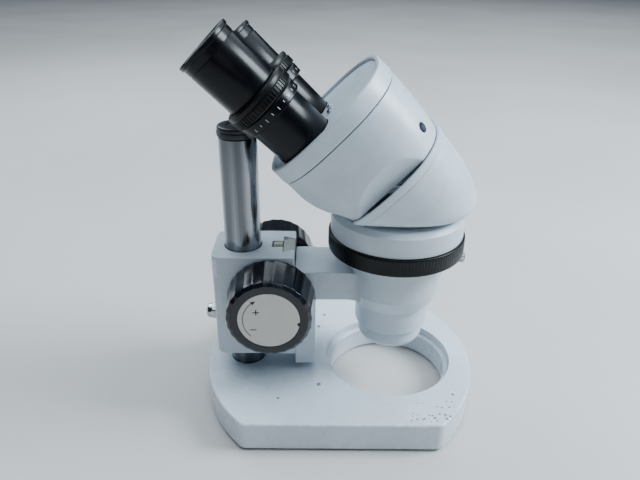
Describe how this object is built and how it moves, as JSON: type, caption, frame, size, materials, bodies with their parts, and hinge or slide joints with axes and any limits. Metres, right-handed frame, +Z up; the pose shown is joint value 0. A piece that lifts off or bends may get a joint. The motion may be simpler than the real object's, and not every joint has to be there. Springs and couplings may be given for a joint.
{
  "type": "stereo microscope",
  "caption": "Binocular stereo microscope head on a pole stand, with rack focus, zoom ring, inclined eyepieces and an open round stage base.",
  "frame": {"origin": "on the table under the middle of the base plate", "axes": "+Z up, +X from the pole to the stage opening, Y = 0 is the plane of symmetry"},
  "size_m": [0.201, 0.1544, 0.2735],
  "materials": {
    "cast_paint": "satin cool light grey enamel with fine texture",
    "head_paint": "smooth satin off-white enamel",
    "pole_chrome": "polished and lightly scratched along its length",
    "bright_steel": "bright plated screws",
    "ground_steel": "ground and oiled sliding metal",
    "brass_parts": "turned brass",
    "black_knob": "moulded, fluted",
    "black_enamel": "semi-gloss black on turned aluminium",
    "knob_plate": "satin anodised disc",
    "foot_rubber": "matt",
    "liner_nylon": "natural nylon",
    "inner_black": "matt black, anti-reflection",
    "lens_glass": "coated glass",
    "plug_plastic": "dark blue-black"
  },
  "bodies": {
    "stand": {"base": "cast_paint", "foot_back_near": "foot_rubber", "foot_back_far": "foot_rubber", "foot_front_near": "foot_rubber", "foot_front_far": "foot_rubber", "pole": "pole_chrome", "pole_cap": "black_enamel", "pole_bolt": "bright_steel"},
    "liner": {"pole_liner": "liner_nylon"},
    "block": {"focus_block": "cast_paint", "shaft_bush_near": "brass_parts", "shaft_bush_far": "brass_parts", "tension_washer": "ground_steel"},
    "pole_screw": {"pole_clamp_screw": "bright_steel"},
    "focus_shaft": {"pinion_shaft": "ground_steel", "far_knob": "black_knob", "far_knob_plate": "knob_plate"},
    "near_focus_knob": {"near_knob": "black_knob", "near_knob_plate": "knob_plate"},
    "carriage": {"carriage_arm": "cast_paint", "rack": "brass_parts", "dovetail_bar": "ground_steel"},
    "head_screw": {"head_clamp_screw": "bright_steel"},
    "head": {"optics_barrel": "cast_paint", "nose_ring": "cast_paint", "near_objective_cell": "inner_black", "far_objective_cell": "inner_black", "near_objective_lens": "lens_glass", "far_objective_lens": "lens_glass", "zoom_rod_back": "bright_steel", "zoom_rod_front": "bright_steel", "neck": "cast_paint", "upper_shell": "head_paint", "lower_shell": "head_paint", "lip_ring": "head_paint", "face_rim": "head_paint", "face_plate": "head_paint", "near_face_screw": "bright_steel", "far_face_screw": "bright_steel", "near_side_plug": "plug_plastic", "far_side_plug": "plug_plastic", "near_prism_block": "lens_glass", "far_prism_block": "lens_glass"},
    "zoom_control": {"zoom_ring": "black_enamel", "zoom_cam_sleeve": "ground_steel"},
    "zoom_lenses": {"zoom_lens_carriage": "inner_black"},
    "near_tube": {"near_eye_tube": "black_enamel"},
    "far_tube": {"far_eye_tube": "black_enamel"},
    "near_diopter": {"near_diopter_ring": "black_enamel"},
    "far_diopter": {"far_diopter_ring": "black_enamel"},
    "near_ocular": {"near_eyepiece": "black_enamel", "near_eye_lens": "lens_glass", "near_field_lens": "lens_glass"},
    "far_ocular": {"far_eyepiece": "black_enamel", "far_eye_lens": "lens_glass", "far_field_lens": "lens_glass"}
  },
  "joints": [
    {"name": "stand_height", "type": "slide", "parent": "stand", "child": "liner", "axis": [0, 0, 1], "range_m": [0, 0.06]},
    {"name": "stand_swivel", "type": "hinge", "parent": "liner", "child": "block", "pos_m": [-0.07, 0, 0.08], "axis": [0, 0, 1], "continuous": true},
    {"name": "pole_screw_turn", "type": "hinge", "parent": "block", "child": "pole_screw", "pos_m": [-0.0955, 0, 0.0633], "axis": [-1, 0, 0], "range_deg": [0, 180]},
    {"name": "focus_slide", "type": "slide", "parent": "block", "child": "carriage", "axis": [0, 0, 1], "range_m": [0, 0.04]},
    {"name": "focus_turn", "type": "hinge", "parent": "block", "child": "focus_shaft", "pos_m": [-0.04915, 0, 0.0883], "axis": [0, -1, 0], "range_deg": [0, 412]},
    {"name": "tension_turn", "type": "hinge", "parent": "focus_shaft", "child": "near_focus_knob", "pos_m": [-0.04915, -0.036, 0.0883], "axis": [0, -1, 0], "range_deg": [-30, 30]},
    {"name": "head_screw_turn", "type": "hinge", "parent": "carriage", "child": "head_screw", "pos_m": [0.078, 0, 0.1105], "axis": [1, 0, 0], "range_deg": [0, 180]},
    {"name": "head_turn", "type": "hinge", "parent": "carriage", "child": "head", "pos_m": [0.0377, 0, 0.12], "axis": [0, 0, 1], "range_deg": [-6, 6]},
    {"name": "zoom_turn", "type": "hinge", "parent": "head", "child": "zoom_control", "pos_m": [0.0377, 0, 0.126], "axis": [0, 0, 1], "range_deg": [0, 120]},
    {"name": "zoom_travel", "type": "slide", "parent": "head", "child": "zoom_lenses", "axis": [0, 0, 1], "range_m": [0, 0.0221]},
    {"name": "near_swing", "type": "hinge", "parent": "head", "child": "near_tube", "pos_m": [-0.00489, -0.012, 0.22489], "axis": [0.7133, 0, -0.7009], "range_deg": [0, 2.4]},
    {"name": "far_swing", "type": "hinge", "parent": "head", "child": "far_tube", "pos_m": [-0.00489, 0.012, 0.22489], "axis": [-0.7133, 0, 0.7009], "range_deg": [0, 2.45]},
    {"name": "near_diopter_turn", "type": "hinge", "parent": "near_tube", "child": "near_diopter", "pos_m": [-0.05119, -0.02422, 0.22762], "axis": [-0.7121, -0.0576, 0.6997], "range_deg": [-277, 0]},
    {"name": "far_diopter_turn", "type": "hinge", "parent": "far_tube", "child": "far_diopter", "pos_m": [-0.05119, 0.02422, 0.22762], "axis": [-0.7121, 0.0576, 0.6997], "range_deg": [0, 277]},
    {"name": "near_ocular_slide", "type": "slide", "parent": "near_tube", "child": "near_ocular", "axis": [-0.7121, -0.0576, 0.6997], "range_m": [-0.0092, 0]},
    {"name": "far_ocular_slide", "type": "slide", "parent": "far_tube", "child": "far_ocular", "axis": [-0.7121, 0.0576, 0.6997], "range_m": [0, 0.0092]}
  ],
  "couplings": [
    {"joint": "focus_turn", "follows": "focus_slide", "rad_per_m": 178.57},
    {"joint": "zoom_travel", "follows": "zoom_turn", "m_per_rad": 0.010504},
    {"joint": "far_swing", "follows": "near_swing", "ratio": 1},
    {"joint": "near_diopter_turn", "follows": "near_ocular_slide", "rad_per_m": 523.6},
    {"joint": "far_diopter_turn", "follows": "far_ocular_slide", "rad_per_m": 523.6}
  ]
}
